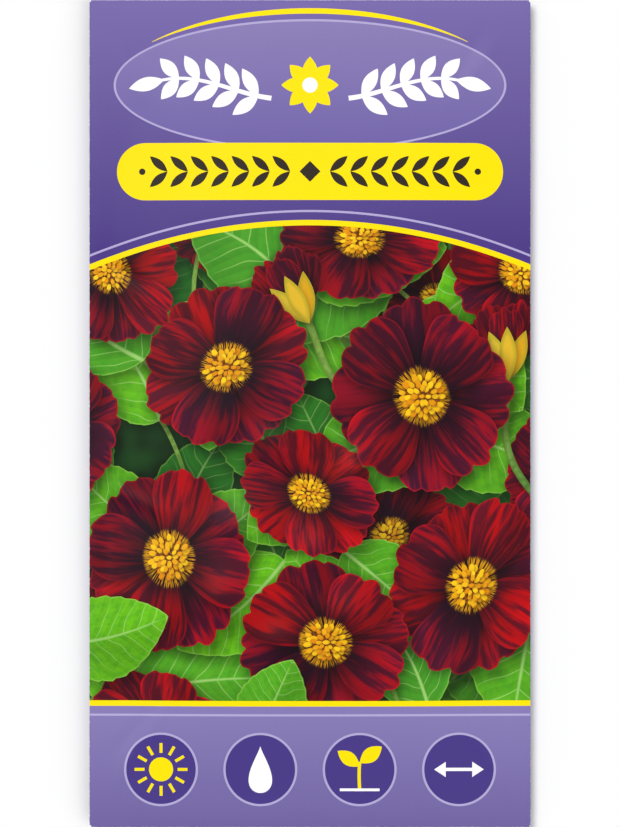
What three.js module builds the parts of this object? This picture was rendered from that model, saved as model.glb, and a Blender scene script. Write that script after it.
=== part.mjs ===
// A sealed paper seed packet, lying on its back with its seeds loose inside.
//
// Millimetres, +Z up. The printed front faces +Z, the top edge points to +Y, and the back
// rests on Z = 0. One folded sheet makes the envelope: a front panel, two side panels that
// overlap in a glued seam down the back, and a bottom and a top flap glued over their ends.
// The seeds push the front up and the back down, so the folded edges stand off the table.

import * as THREE from "three";
import { mergeVertices } from "three/addons/utils/BufferGeometryUtils.js";

// Driving dimensions
const WIDTH = 80;
const HEIGHT = 150;
const PAPER = 0.12; // thickness of the sheet
const GLUE = 0.06; // thickness of a strip of dried glue
const GLUE_PLAY = 0.02; // between a glue strip and each sheet that it holds
const SIDE_FOLD_RADIUS = 0.2; // outside of the side folds
const FOLD_STEPS = 6; // flats around a half turn
const BACK_SAG = 2.2; // from the side folds down to the flat of the back
const BACK_BULGE = 3.9; // what the back would sag with no table under it
const FRONT_CROWN = 4.6; // from the side folds up to the top of the front
const CROWN_Y = -14; // the packet is fullest below its middle, where the seeds lie
const CROWN_POWER_X = 2.4;
const CROWN_POWER_Y = 2.6;
const SEAM_OVERLAP = 10;
const SEAM_STEP_START = 2.5; // where the inner side panel starts to step over the outer one
const SEAM_STEP_END = 0.8; // both measured from the outer panel's free edge
const BOTTOM_FLAP = 14;
const TOP_FLAP = 18;
const FLAP_HALF_WIDTH = 39.7;
const FLAP_CORNER = 4; // width of a flap's cut-off corners
const CORNER_NOTCH = 0.1; // the side panels stop this far short of the end folds
const SEAM_GLUE_HALF_WIDTH = 4;
const FLAP_GLUE_MARGIN = 1.5; // bare paper along a flap's free edge
const GLUE_END_Y = 71; // where the glue strips stop towards the end folds
const SEED_LENGTH = 7.6;
const SEED_WIDTH = 6.8;
const SEED_DEPTH = 5.8;
const SEED_PLAY = 0.15; // under a seed
const SEED_RIDGES = 3;
const SEED_RIDGE_HEIGHT = 0.07; // as a share of the radius
const SEED_WRINKLES = 9;
const SEED_WRINKLE_HEIGHT = 0.03;
const SEED_TWIST = 5; // of the wrinkles from one end of a seed to the other
const SEED_DETAIL = 2; // subdivisions of the icosahedron

// Where each seed lies, the way that it points and its size against the usual one
const SEEDS = [
  { x: -16, y: -34, turn: 20, size: 1.0 },
  { x: -5, y: -41, turn: 75, size: 0.95 },
  { x: 8, y: -36, turn: 140, size: 1.02 },
  { x: 17, y: -23, turn: 10, size: 0.97 },
  { x: 2, y: -25, turn: 50, size: 1.04 },
  { x: -12, y: -20, turn: 110, size: 1.0 },
  { x: 9, y: -10, turn: 165, size: 0.96 },
  { x: -5, y: -6, turn: 35, size: 1.03 },
];

// Worked out from them
const LAYER = PAPER + GLUE + 2 * GLUE_PLAY; // from a sheet to the one glued over it
const EDGE_Z = BACK_SAG + SIDE_FOLD_RADIUS; // middle of the side folds
const SIDE_X = WIDTH / 2 - SIDE_FOLD_RADIUS; // where the front panel meets a side fold
const END_FOLD_RADIUS = SIDE_FOLD_RADIUS + LAYER / 2;
const END_Y = HEIGHT / 2 - END_FOLD_RADIUS; // where the front panel meets an end fold
const PANEL_END_Y = END_Y - CORNER_NOTCH;
const OUTER_PANEL_EDGE_X = -SEAM_OVERLAP / 2;
const INNER_PANEL_EDGE_X = SEAM_OVERLAP / 2;
const BOTTOM_FLAP_EDGE_Y = -HEIGHT / 2 + BOTTOM_FLAP;
const TOP_FLAP_EDGE_Y = HEIGHT / 2 - TOP_FLAP;
const STEP_START_X = OUTER_PANEL_EDGE_X - SEAM_STEP_START;
const STEP_END_X = OUTER_PANEL_EDGE_X - SEAM_STEP_END;

// The sheet's lines across and along, which every layer shares so that no two layers meet
const LINES_X = [
  -SIDE_X,
  -FLAP_HALF_WIDTH,
  -FLAP_HALF_WIDTH + FLAP_CORNER,
  -29,
  -23,
  -17,
  -12,
  STEP_START_X,
  STEP_END_X,
  OUTER_PANEL_EDGE_X,
  -SEAM_GLUE_HALF_WIDTH,
  0,
  SEAM_GLUE_HALF_WIDTH,
  INNER_PANEL_EDGE_X,
  11,
  17,
  23,
  29,
  FLAP_HALF_WIDTH - FLAP_CORNER,
  FLAP_HALF_WIDTH,
  SIDE_X,
];
const LINES_Y = [
  -END_Y,
  -PANEL_END_Y,
  -GLUE_END_Y,
  -67,
  BOTTOM_FLAP_EDGE_Y - FLAP_GLUE_MARGIN,
  BOTTOM_FLAP_EDGE_Y,
  -54,
  -46,
  -37,
  -28,
  -19,
  -10,
  -1,
  8,
  17,
  26,
  35,
  43,
  50,
  TOP_FLAP_EDGE_Y,
  TOP_FLAP_EDGE_Y + FLAP_GLUE_MARGIN,
  64,
  GLUE_END_Y,
  PANEL_END_Y,
  END_Y,
];

const material = (color, roughness) =>
  new THREE.MeshStandardMaterial({ color, roughness, metalness: 0 });
const printedPaper = () => material(0x8272b4, 0.45);
const driedGlue = () => material(0xe6dfc8, 0.5);
const seedHusk = () => material(0xa98a5c, 0.85);

const linesBetween = (lines, low, high) =>
  lines.filter((value) => value >= low && value <= high);

// How full the packet is at a point, from 0 on its folded edges to 1 at its crown.
function fullness(x, y) {
  const across = Math.min(Math.abs(x) / SIDE_X, 1);
  const reach = y < CROWN_Y ? END_Y + CROWN_Y : END_Y - CROWN_Y;
  const along = Math.min(Math.abs(y - CROWN_Y) / reach, 1);
  return (1 - across ** CROWN_POWER_X) * (1 - along ** CROWN_POWER_Y);
}

const frontZ = (x, y) => EDGE_Z + SIDE_FOLD_RADIUS + FRONT_CROWN * fullness(x, y);

// The outer face of the back, which the table keeps flat at Z = 0.
const backZ = (x, y) => BACK_SAG - Math.min(BACK_SAG, BACK_BULGE * fullness(x, y));

// How far the inner side panel stands off the back's outer face.
function seamStep(x) {
  const share = (x - STEP_START_X) / (STEP_END_X - STEP_START_X);
  return LAYER * Math.min(Math.max(share, 0), 1);
}

// A sheet of cells whose nodes each have a point on its outer and on its inner face. Cells
// are listed counter-clockwise as seen from outside. Free edges are closed by a rim.
class Sheet {
  constructor() {
    this.outer = [];
    this.inner = [];
    this.cells = [];
  }

  node(outer, inner) {
    this.outer.push(outer);
    this.inner.push(inner);
    return this.outer.length - 1;
  }

  // Joins two rows of nodes. The second row lies to the left of the first, seen from
  // outside and looking along the rows.
  join(row, next) {
    for (let i = 0; i + 1 < row.length; i++) {
      const cell = [row[i], row[i + 1], next[i + 1], next[i]];
      this.cells.push(cell.filter((node) => node !== null));
    }
  }

  // Turns a cell so that its first and third node lie on its rising diagonal, seen from
  // above, and layers that follow each other are split into the same triangles.
  turned(cell) {
    const [first, , third] = cell.map((node) => this.outer[node]);
    const rising = (third[0] - first[0]) * (third[1] - first[1]) > 0;
    return cell.length < 4 || rising ? cell : [...cell.slice(1), cell[0]];
  }

  geometry() {
    const under = this.outer.length;
    const index = [];
    const face = (nodes) => {
      for (let i = 1; i + 1 < nodes.length; i++) {
        index.push(nodes[0], nodes[i], nodes[i + 1]);
      }
    };
    const edges = new Map();
    for (const cell of this.cells.map((nodes) => this.turned(nodes))) {
      const [first, ...rest] = cell.map((node) => node + under);
      face(cell);
      face([first, ...rest.reverse()]);
      cell.forEach((from, i) => {
        const to = cell[(i + 1) % cell.length];
        edges.set(`${from} ${to}`, [from, to]);
      });
    }
    for (const [from, to] of edges.values()) {
      if (!edges.has(`${to} ${from}`)) {
        face([to, from, from + under, to + under]);
      }
    }
    const geometry = new THREE.BufferGeometry();
    const points = [...this.outer, ...this.inner].flat();
    geometry.setAttribute("position", new THREE.Float32BufferAttribute(points, 3));
    geometry.setIndex(index);
    geometry.computeVertexNormals();
    return geometry;
  }
}

// The points of a half turn from the front, round an edge, to the back: how far out each
// lies and how high above the fold's middle.
function halfTurn(radius) {
  const points = [];
  for (let i = 1; i < FOLD_STEPS; i++) {
    const angle = (Math.PI * i) / FOLD_STEPS;
    points.push({ out: radius * Math.sin(angle), up: radius * Math.cos(angle) });
  }
  return points;
}

// Adds one side panel: round the fold at x = side * SIDE_X and back to its free edge.
function addSidePanel(sheet, front, side, lines, standOff) {
  const rows = [front];
  const ys = linesBetween(LINES_Y, -PANEL_END_Y, PANEL_END_Y);
  const outer = halfTurn(SIDE_FOLD_RADIUS);
  const inner = halfTurn(SIDE_FOLD_RADIUS - PAPER);
  outer.forEach((point, i) => {
    rows.push(
      ys.map((y) =>
        sheet.node(
          [side * (SIDE_X + point.out), y, EDGE_Z + point.up],
          [side * (SIDE_X + inner[i].out), y, EDGE_Z + inner[i].up],
        ),
      ),
    );
  });
  for (const x of lines) {
    rows.push(
      ys.map((y) => {
        const z = backZ(x, y) + standOff(x);
        return sheet.node([x, y, z], [x, y, z + PAPER]);
      }),
    );
  }
  for (let i = 0; i + 1 < rows.length; i++) {
    if (side < 0) sheet.join(rows[i], rows[i + 1]);
    else sheet.join(rows[i + 1], rows[i]);
  }
}

// Adds one end flap: round the fold at y = end * END_Y and back to its free edge, where its
// corners are cut off.
function addFlap(sheet, front, end, edgeY) {
  const xs = linesBetween(LINES_X, -FLAP_HALF_WIDTH, FLAP_HALF_WIDTH);
  const rows = [front];
  const outer = halfTurn(END_FOLD_RADIUS);
  const inner = halfTurn(END_FOLD_RADIUS - PAPER);
  const middleZ = EDGE_Z - LAYER / 2;
  outer.forEach((point, i) => {
    rows.push(
      xs.map((x) =>
        sheet.node(
          [x, end * (END_Y + point.out), middleZ + point.up],
          [x, end * (END_Y + inner[i].out), middleZ + inner[i].up],
        ),
      ),
    );
  });
  const reach = end < 0 ? [-END_Y, edgeY] : [edgeY, END_Y];
  const ys = linesBetween(LINES_Y, ...reach);
  if (end > 0) ys.reverse();
  for (const y of ys) {
    rows.push(
      xs.map((x, i) => {
        const cutOff = y === edgeY && (i === 0 || i === xs.length - 1);
        const z = backZ(x, y) - LAYER;
        return cutOff ? null : sheet.node([x, y, z], [x, y, z + PAPER]);
      }),
    );
  }
  for (let i = 0; i + 1 < rows.length; i++) {
    if (end > 0) sheet.join(rows[i], rows[i + 1]);
    else sheet.join(rows[i + 1], rows[i]);
  }
}

function envelope() {
  const sheet = new Sheet();
  const columns = LINES_X.map((x) =>
    LINES_Y.map((y) => {
      const z = frontZ(x, y);
      return sheet.node([x, y, z], [x, y, z - PAPER]);
    }),
  );
  for (let i = 0; i + 1 < columns.length; i++) {
    sheet.join(columns[i + 1], columns[i]);
  }
  const inner = linesBetween(LINES_X, -SIDE_X, INNER_PANEL_EDGE_X);
  const outer = linesBetween(LINES_X, OUTER_PANEL_EDGE_X, SIDE_X).reverse();
  const left = columns[0].slice(1, -1);
  const right = columns[columns.length - 1].slice(1, -1);
  addSidePanel(sheet, left, -1, inner, seamStep);
  addSidePanel(sheet, right, 1, outer, () => 0);
  const middle = columns.slice(1, -1);
  addFlap(sheet, middle.map((column) => column[0]), -1, BOTTOM_FLAP_EDGE_Y);
  addFlap(sheet, middle.map((column) => column[column.length - 1]), 1, TOP_FLAP_EDGE_Y);
  return sheet.geometry();
}

// A glue strip that follows the back, with its lower face `drop` below the back's outer face.
function glueStrip(xs, ys, drop) {
  const sheet = new Sheet();
  const columns = xs.map((x) =>
    ys.map((y) => {
      const z = backZ(x, y) - drop;
      return sheet.node([x, y, z + GLUE], [x, y, z]);
    }),
  );
  for (let i = 0; i + 1 < columns.length; i++) {
    sheet.join(columns[i + 1], columns[i]);
  }
  return sheet.geometry();
}

// A dry, ridged and wrinkled seed, a little longer than it is wide.
function seed(size, phase) {
  const ball = new THREE.IcosahedronGeometry(1, SEED_DETAIL);
  ball.deleteAttribute("normal");
  ball.deleteAttribute("uv");
  const geometry = mergeVertices(ball);
  const place = geometry.getAttribute("position");
  const point = new THREE.Vector3();
  for (let i = 0; i < place.count; i++) {
    point.fromBufferAttribute(place, i).normalize();
    const angle = Math.atan2(point.z, point.y);
    const girth = Math.hypot(point.y, point.z);
    const ridge = SEED_RIDGE_HEIGHT * Math.cos(SEED_RIDGES * angle + phase);
    const around = SEED_WRINKLES * angle + SEED_TWIST * point.x + phase;
    const wrinkle = SEED_WRINKLE_HEIGHT * Math.sin(around);
    point.multiplyScalar(1 + girth * (ridge + wrinkle) - SEED_RIDGE_HEIGHT);
    point.multiply(new THREE.Vector3(SEED_LENGTH / 2, SEED_WIDTH / 2, SEED_DEPTH / 2));
    point.multiplyScalar(size);
    place.setXYZ(i, point.x, point.y, point.z);
  }
  geometry.computeVertexNormals();
  geometry.computeBoundingBox();
  return geometry;
}

// The envelope's inner face under a seed, which is the outer panel's past the inner panel.
function floorZ(x, y) {
  const onInnerPanel = x < INNER_PANEL_EDGE_X + SEED_LENGTH;
  return backZ(x, y) + PAPER + (onInnerPanel ? seamStep(x) : 0);
}

const packet = new THREE.Group();

function add(name, geometry, finish) {
  const mesh = new THREE.Mesh(geometry, finish);
  mesh.name = name;
  packet.add(mesh);
  return mesh;
}

add("paper_envelope", envelope(), printedPaper());

// The seam's glue lies on the outer side panel, and the flaps' glue under both side panels.
const onOuterPanel = -PAPER - GLUE_PLAY;
const seamXs = linesBetween(LINES_X, -SEAM_GLUE_HALF_WIDTH, SEAM_GLUE_HALF_WIDTH);
const seamYs = linesBetween(LINES_Y, -GLUE_END_Y, GLUE_END_Y);
add("back_seam_glue", glueStrip(seamXs, seamYs, onOuterPanel), driedGlue());

const underPanels = GLUE + GLUE_PLAY;
const flapGlueEdge = FLAP_HALF_WIDTH - FLAP_CORNER;
const flapXs = linesBetween(LINES_X, -flapGlueEdge, flapGlueEdge);
const bottomYs = linesBetween(LINES_Y, -GLUE_END_Y, BOTTOM_FLAP_EDGE_Y - FLAP_GLUE_MARGIN);
const topYs = linesBetween(LINES_Y, TOP_FLAP_EDGE_Y + FLAP_GLUE_MARGIN, GLUE_END_Y);
add("bottom_flap_glue", glueStrip(flapXs, bottomYs, underPanels), driedGlue());
add("top_flap_glue", glueStrip(flapXs, topYs, underPanels), driedGlue());

SEEDS.forEach(({ x, y, turn, size }, i) => {
  const mesh = add(`seed_${i + 1}`, seed(size, i), seedHusk());
  mesh.position.set(x, y, floorZ(x, y) + SEED_PLAY - mesh.geometry.boundingBox.min.z);
  mesh.rotation.z = THREE.MathUtils.degToRad(turn);
});

export default packet;
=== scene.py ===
# A sealed paper seed packet, lying on its back with its seeds loose inside.
#
# The paper is printed flat, as one blank, and then folded: every shape of the print is an
# outline on the blank, the blank is cut into triangles along those outlines, and its points
# are carried round the folds. Sizes are in millimetres until a mesh is made.

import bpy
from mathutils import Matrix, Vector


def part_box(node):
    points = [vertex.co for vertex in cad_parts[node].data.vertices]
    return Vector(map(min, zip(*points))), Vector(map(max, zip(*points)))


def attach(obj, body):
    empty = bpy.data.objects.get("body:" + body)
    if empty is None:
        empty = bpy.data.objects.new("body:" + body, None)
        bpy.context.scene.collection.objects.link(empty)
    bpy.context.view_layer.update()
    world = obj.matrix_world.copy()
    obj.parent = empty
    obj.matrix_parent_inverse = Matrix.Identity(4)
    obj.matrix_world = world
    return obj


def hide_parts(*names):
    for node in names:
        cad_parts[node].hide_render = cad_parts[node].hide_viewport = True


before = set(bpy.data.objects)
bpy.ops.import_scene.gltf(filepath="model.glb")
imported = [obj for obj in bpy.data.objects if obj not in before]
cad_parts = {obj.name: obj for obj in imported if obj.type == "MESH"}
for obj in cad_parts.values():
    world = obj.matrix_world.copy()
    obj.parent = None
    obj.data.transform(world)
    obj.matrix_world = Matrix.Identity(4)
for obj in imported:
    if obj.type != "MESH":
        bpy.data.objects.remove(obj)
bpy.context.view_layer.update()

import math
import random

import bpy
import numpy as np
from mathutils import Vector
from mathutils.geometry import delaunay_2d_cdt
from mathutils.kdtree import KDTree

MM = 0.001

# --- the folded sheet ---

low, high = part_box("paper_envelope")
WIDTH = (high.x - low.x) / MM
HEIGHT = (high.y - low.y) / MM
PAPER = 0.12  # thickness of the sheet
GLUE = 0.06  # thickness of a strip of dried glue
GLUE_PLAY = 0.02  # between a glue strip and each sheet that it holds
SIDE_RADIUS = 0.2  # outside of the side folds
BACK_SAG = 2.2  # from the side folds down to the flat of the back
BACK_BULGE = 3.9  # what the back would sag with no table under it
FRONT_CROWN = (high.z - low.z) / MM - BACK_SAG - 2 * SIDE_RADIUS
CROWN_Y = -14  # the packet is fullest below its middle, where the seeds lie
CROWN_POWER_X, CROWN_POWER_Y = 2.4, 2.6
SEAM_OVERLAP = 10
SEAM_STEP_START = 2.5  # where the inner side panel starts to step over the outer one,
SEAM_STEP_END = 0.8  # both measured from the outer panel's free edge
BOTTOM_FLAP, TOP_FLAP = 14, 18
FLAP_HALF_WIDTH = 39.7
FLAP_CORNER = 4
CORNER_NOTCH = 0.1  # the side panels stop this far short of the end folds

LAYER = PAPER + GLUE + 2 * GLUE_PLAY  # from a sheet to the one glued over it
EDGE_Z = BACK_SAG + SIDE_RADIUS
SIDE_X = WIDTH / 2 - SIDE_RADIUS
END_RADIUS = SIDE_RADIUS + LAYER / 2
END_Y = HEIGHT / 2 - END_RADIUS
PANEL_END_Y = END_Y - CORNER_NOTCH
SIDE_TURN = math.pi * SIDE_RADIUS  # paper used up by a side fold
END_TURN = math.pi * END_RADIUS
BLANK_X = SIDE_X + SIDE_TURN + SIDE_X + SEAM_OVERLAP / 2  # half the blank's width
BLANK_BOTTOM = -(END_Y + END_TURN + BOTTOM_FLAP - END_RADIUS)
BLANK_TOP = END_Y + END_TURN + TOP_FLAP - END_RADIUS

# Where each seed lies, the way that it points and its size against the usual one
SEEDS = [
    (-16, -34, 20, 1.0),
    (-5, -41, 75, 0.95),
    (8, -36, 140, 1.02),
    (17, -23, 10, 0.97),
    (2, -25, 50, 1.04),
    (-12, -20, 110, 1.0),
    (9, -10, 165, 0.96),
    (-5, -6, 35, 1.03),
]

BUMP_HEIGHT, BUMP_RADIUS = 0.65, 4.2  # where the front lies over a seed
DENT_HEIGHT, DENT_LENGTH = 0.22, 34  # broad hollows and swells
COCKLE_HEIGHT, COCKLE_LENGTH = 0.03, 9  # small waves all over
RIPPLE_WAVES = 9
# Start, end, width and height of the front's creases, most of them from a corner inwards
CREASES = [
    ((-40, -75), (-22, -46), 1.5, 0.3),
    ((-40, -66), (-25, -50), 1.2, -0.2),
    ((40, -75), (24, -49), 1.6, 0.28),
    ((40, 75), (21, 50), 1.6, 0.28),
    ((34, 75), (24, 56), 1.2, -0.18),
    ((-40, 75), (-25, 49), 1.5, 0.26),
    ((-40, -12), (-24, -19), 1.4, 0.18),
    ((40, 6), (27, -3), 1.4, 0.2),
    ((40, -36), (26, -31), 1.3, -0.18),
    ((-40, 30), (-27, 21), 1.3, -0.16),
]


def smooth(start, end, value):
    """0 up to start, 1 from end on, and an even slope between them."""
    share = np.clip((value - start) / (end - start), 0, 1)
    return share * share * (3 - 2 * share)


def fullness(x, y):
    """How full the packet is, from 0 on its folded edges to 1 at its crown."""
    across = np.clip(np.abs(x) / SIDE_X, 0, 1)
    reach = np.where(y < CROWN_Y, END_Y + CROWN_Y, END_Y - CROWN_Y)
    along = np.clip(np.abs(y - CROWN_Y) / reach, 0, 1)
    return (1 - across**CROWN_POWER_X) * (1 - along**CROWN_POWER_Y)


def ripple(x, y, wavelength, seed):
    """A mix of long waves in all directions, between about -1 and 1."""
    draw = random.Random(seed)
    total = 0
    for _ in range(RIPPLE_WAVES):
        heading, phase = draw.uniform(0, math.pi), draw.uniform(0, 2 * math.pi)
        length = wavelength * draw.uniform(0.7, 1.5)
        along = x * math.cos(heading) + y * math.sin(heading)
        total = total + np.sin(2 * math.pi * along / length + phase)
    return total / math.sqrt(RIPPLE_WAVES) / 1.4


def crease(x, y, start, end, width, height):
    """A soft ridge, or a dent if height is negative, that fades out at both ends."""
    (x0, y0), (x1, y1) = start, end
    length = math.hypot(x1 - x0, y1 - y0)
    along = ((x - x0) * (x1 - x0) + (y - y0) * (y1 - y0)) / length
    across = ((x - x0) * (y1 - y0) - (y - y0) * (x1 - x0)) / length
    fade = np.sin(math.pi * np.clip(along / length, 0, 1)) ** 2
    return height * fade * np.exp(-((across / width) ** 2))


def front_z(x, y):
    """The outer face of the front panel. All its relief dies away towards the folded edges."""
    full = fullness(x, y)
    inside = smooth(0, 0.25, full)
    z = EDGE_Z + SIDE_RADIUS + FRONT_CROWN * full - BUMP_HEIGHT * inside
    for seed_x, seed_y, _, _ in SEEDS:
        apart = (x - seed_x) ** 2 + (y - seed_y) ** 2
        z = z + BUMP_HEIGHT * inside * np.exp(-apart / BUMP_RADIUS**2)
    z = z + DENT_HEIGHT * inside * ripple(x, y, DENT_LENGTH, seed=5)
    for line in CREASES:
        z = z + smooth(0, 0.1, full) * crease(x, y, *line)
    return z + COCKLE_HEIGHT * smooth(0, 0.15, full) * ripple(x, y, COCKLE_LENGTH, seed=8)


def back_z(x, y):
    """The outer face of the back, which the table keeps flat at 0."""
    sag = BACK_BULGE * fullness(x, y)
    return BACK_SAG - np.minimum(sag, BACK_SAG)


def wrapped(place, edge, radius):
    """Where places come to on paper that folds under at an edge, how far each is turned, and
    how far behind the fold it lies."""
    past = np.maximum(np.abs(place) - edge, 0)
    turn = np.clip(past / radius, 0, math.pi)
    behind = np.maximum(past - math.pi * radius, 0)
    carried = np.sign(place) * (edge + radius * np.sin(turn) - behind)
    return np.where(past > 0, carried, place), turn, behind


def folded(u, v):
    """Carries points of the flat blank to where the outer face of the folded sheet has them."""
    x, side_turn, on_panel = wrapped(u, SIDE_X, SIDE_RADIUS)
    y, end_turn, on_flap = wrapped(v, END_Y, END_RADIUS)
    # The left panel is the inner one of the seam, so it steps over the right one's edge.
    step = smooth(-SEAM_OVERLAP / 2 - SEAM_STEP_START, -SEAM_OVERLAP / 2 - SEAM_STEP_END, x)
    stand_off = np.where(u < 0, LAYER * step, 0)
    z = front_z(x, y)
    z = np.where(side_turn > 0, EDGE_Z + SIDE_RADIUS * np.cos(side_turn), z)
    z = np.where(on_panel > 0, back_z(x, y) + stand_off, z)
    z = np.where(end_turn > 0, EDGE_Z - LAYER / 2 + END_RADIUS * np.cos(end_turn), z)
    z = np.where(on_flap > 0, back_z(x, y) - LAYER, z)
    return np.stack([x, y, z], 1)


def unit(directions):
    return directions / np.linalg.norm(directions, axis=-1, keepdims=True)


def outward(u, v):
    """The folded sheet's outward normals."""
    step = 0.02
    across = folded(u + step, v) - folded(u - step, v)
    along = folded(u, v + step) - folded(u, v - step)
    return unit(np.cross(across, along))


# --- outlines ---

STEP = 0.6  # distance between the points of a curved outline
LENS_POINTS = 16  # along each side of a lens
LONGEST_EDGE = 0.9  # of any outline, so that it can follow the swell of the packet
SHORTEST_EDGE = 0.02
FOLD_FLATS = 6  # round a fold
FOLD_LEAD = 0.3  # rows of points also lie this far before and after a fold


def fold_rows(start, turn):
    """How far out the rows of points lie that follow a fold of the blank."""
    even = start + turn * np.linspace(0, 1, FOLD_FLATS + 1)
    return np.concatenate([[start - FOLD_LEAD], even, [start + turn + FOLD_LEAD]])


FOLD_U = fold_rows(SIDE_X, SIDE_TURN)
FOLD_V = fold_rows(END_Y, END_TURN)


def points(*pairs):
    return np.array(pairs, float)


def toward(degrees, reach=1.0):
    """The place at some reach from the origin in a direction."""
    angle = math.radians(degrees)
    return reach * np.array([math.cos(angle), math.sin(angle)])


def leftward(ahead):
    """A direction turned a quarter to the left, or each direction of a list."""
    return np.stack([-ahead[..., 1], ahead[..., 0]], -1)


def turned(outline, degrees):
    ahead = toward(degrees)
    return outline @ np.stack([ahead, leftward(ahead)])


def ellipse(centre, radius_x, radius_y=None, start=0, end=360):
    """An ellipse, or an arc of one if start and end don't go all the way round."""
    radius_y = radius_y or radius_x
    whole = abs(end - start) == 360
    length = math.pi * (radius_x + radius_y) * abs(end - start) / 360
    count = max(int(length / STEP), 10)
    angle = np.radians(np.linspace(start, end, count, endpoint=not whole))
    return np.stack([np.cos(angle) * radius_x, np.sin(angle) * radius_y], 1) + centre


def pill(centre, width, height, radius):
    """A rectangle with round corners."""
    x, y = width / 2 - radius, height / 2 - radius
    corners = [(x, y, 0), (-x, y, 90), (-x, -y, 180), (x, -y, 270)]
    arcs = [ellipse((cx, cy), radius, start=a, end=a + 90) for cx, cy, a in corners]
    return np.concatenate(arcs) + centre


def box(x0, x1, y0, y1):
    return points((x0, y0), (x1, y0), (x1, y1), (x0, y1))


def ribbon(path, widths):
    """A band along a path, with a width for each point or one for all of them."""
    aside = leftward(unit(np.gradient(path, axis=0))) * np.reshape(widths, (-1, 1)) / 2
    return np.concatenate([path - aside, (path + aside)[::-1]])


def blade(rib, half):
    """A pointed outline, given its middle line and how far it reaches to both sides of that."""
    return np.concatenate([rib - half, (rib + half)[-2:0:-1]])


def lens(start, end, width):
    """A pointed oval from one point to another, as for the leaf of an ornament."""
    start, end = points(start, end)
    share = np.linspace(0, 1, LENS_POINTS)[:, None]
    half = width / 2 * np.sin(math.pi * share) ** 0.9 * leftward(unit(end - start))
    return blade(start + share * (end - start), half)


def curve(*controls, count=24):
    """A Bezier curve through its first and last control."""
    share = np.linspace(0, 1, count)[:, None]
    level = points(*controls)
    while len(level) > 1:
        level = [a * (1 - share) + b * share for a, b in zip(level, level[1:])]
    return level[0]


def stations(path, first, spacing):
    """Even places along a path, with the heading at each."""
    span = np.diff(path, axis=0)
    reach = np.append(0, np.cumsum(np.linalg.norm(span, axis=1)))
    for along in np.arange(first, reach[-1] - spacing / 2, spacing):
        k = np.searchsorted(reach, along) - 1
        share = (along - reach[k]) / (reach[k + 1] - reach[k])
        yield path[k] + share * span[k], math.degrees(math.atan2(span[k, 1], span[k, 0]))


def divided(outline):
    """The same outline with points added along its longer edges and wherever it meets a fold."""
    made = []
    for start, end in zip(outline, np.roll(outline, -1, axis=0)):
        span = end - start
        length = np.linalg.norm(span)
        count = math.ceil(length / LONGEST_EDGE) or 1
        shares = [k / count for k in range(count)]
        for k, rows in enumerate((FOLD_U, FOLD_V)):
            if abs(span[k]) > 1e-9:
                crossings = (np.concatenate([rows, -rows]) - start[k]) / span[k]
                shares += [share for share in crossings if 0 < share < 1]
        shares = np.sort(shares)
        shares = shares[np.append(True, np.diff(shares) * length > SHORTEST_EDGE)]
        made.append(start + span * shares[:, None])
    return np.concatenate(made)


class Shape:
    """One printed shape: its outline on the blank and its ink; what gives a place its own
    coordinates on the shape, a tone, and the light on it, as a number or worked out from those
    coordinates; and how dark, soft and far off its shadow on the shapes below is."""

    def __init__(self, outline, ink, own=None, tone=0.5, light=1.0, shadow=0.0, blur=0.0, drop=0.0):
        x, y = outline.T
        clockwise = x @ (np.roll(y, -1) - np.roll(y, 1)) < 0
        self.outline = divided(outline[::-1] if clockwise else outline)
        self.ink, self.own, self.tone, self.light = ink, own, tone, light
        self.shadow, self.blur, self.drop = shadow, blur, drop


def inked(ink, *outlines, at=(0, 0)):
    """Plain shapes of one ink, moved to a place."""
    return [Shape(outline + at, ink) for outline in outlines]


def distance(outline, place):
    """How far each place is from an outline, less than 0 inside it."""
    start, end = outline, np.roll(outline, -1, axis=0)
    span = end - start
    reach = place[:, None] - start[None]
    share = np.clip((reach * span).sum(2) / np.maximum((span * span).sum(1), 1e-12), 0, 1)
    nearest = np.linalg.norm(reach - share[:, :, None] * span, axis=2).min(1)
    above = (start[:, 1] > place[:, 1:]) != (end[:, 1] > place[:, 1:])
    rise = np.where(np.abs(span[:, 1]) < 1e-12, 1e-12, span[:, 1])
    cross_x = start[:, 0] + (place[:, 1:] - start[:, 1]) * span[:, 0] / rise
    inside = (above & (place[:, :1] < cross_x)).sum(1) % 2 == 1
    return np.where(inside, -nearest, nearest)


# --- the picture: blossoms on leaves ---

LIGHT_FROM = np.array([-0.6, 0.8])  # the picture is lit from its upper left
PETALS = 8
PETAL_POINTS = 24  # along each side of a petal
NOTCH_PLACE, NOTCH_WIDTH, NOTCH_DEPTH = 0.34, 0.1, 0.055  # of the two in a petal's tip
DISC = 0.21  # radius of the button of stamens, against the blossom's
# Rings of anthers on the button: how many, how far out, and how long each is
ANTHERS = [(19, 0.2, 0.055), (14, 0.14, 0.05), (8, 0.08, 0.045), (1, 0.0, 0.045)]


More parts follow.
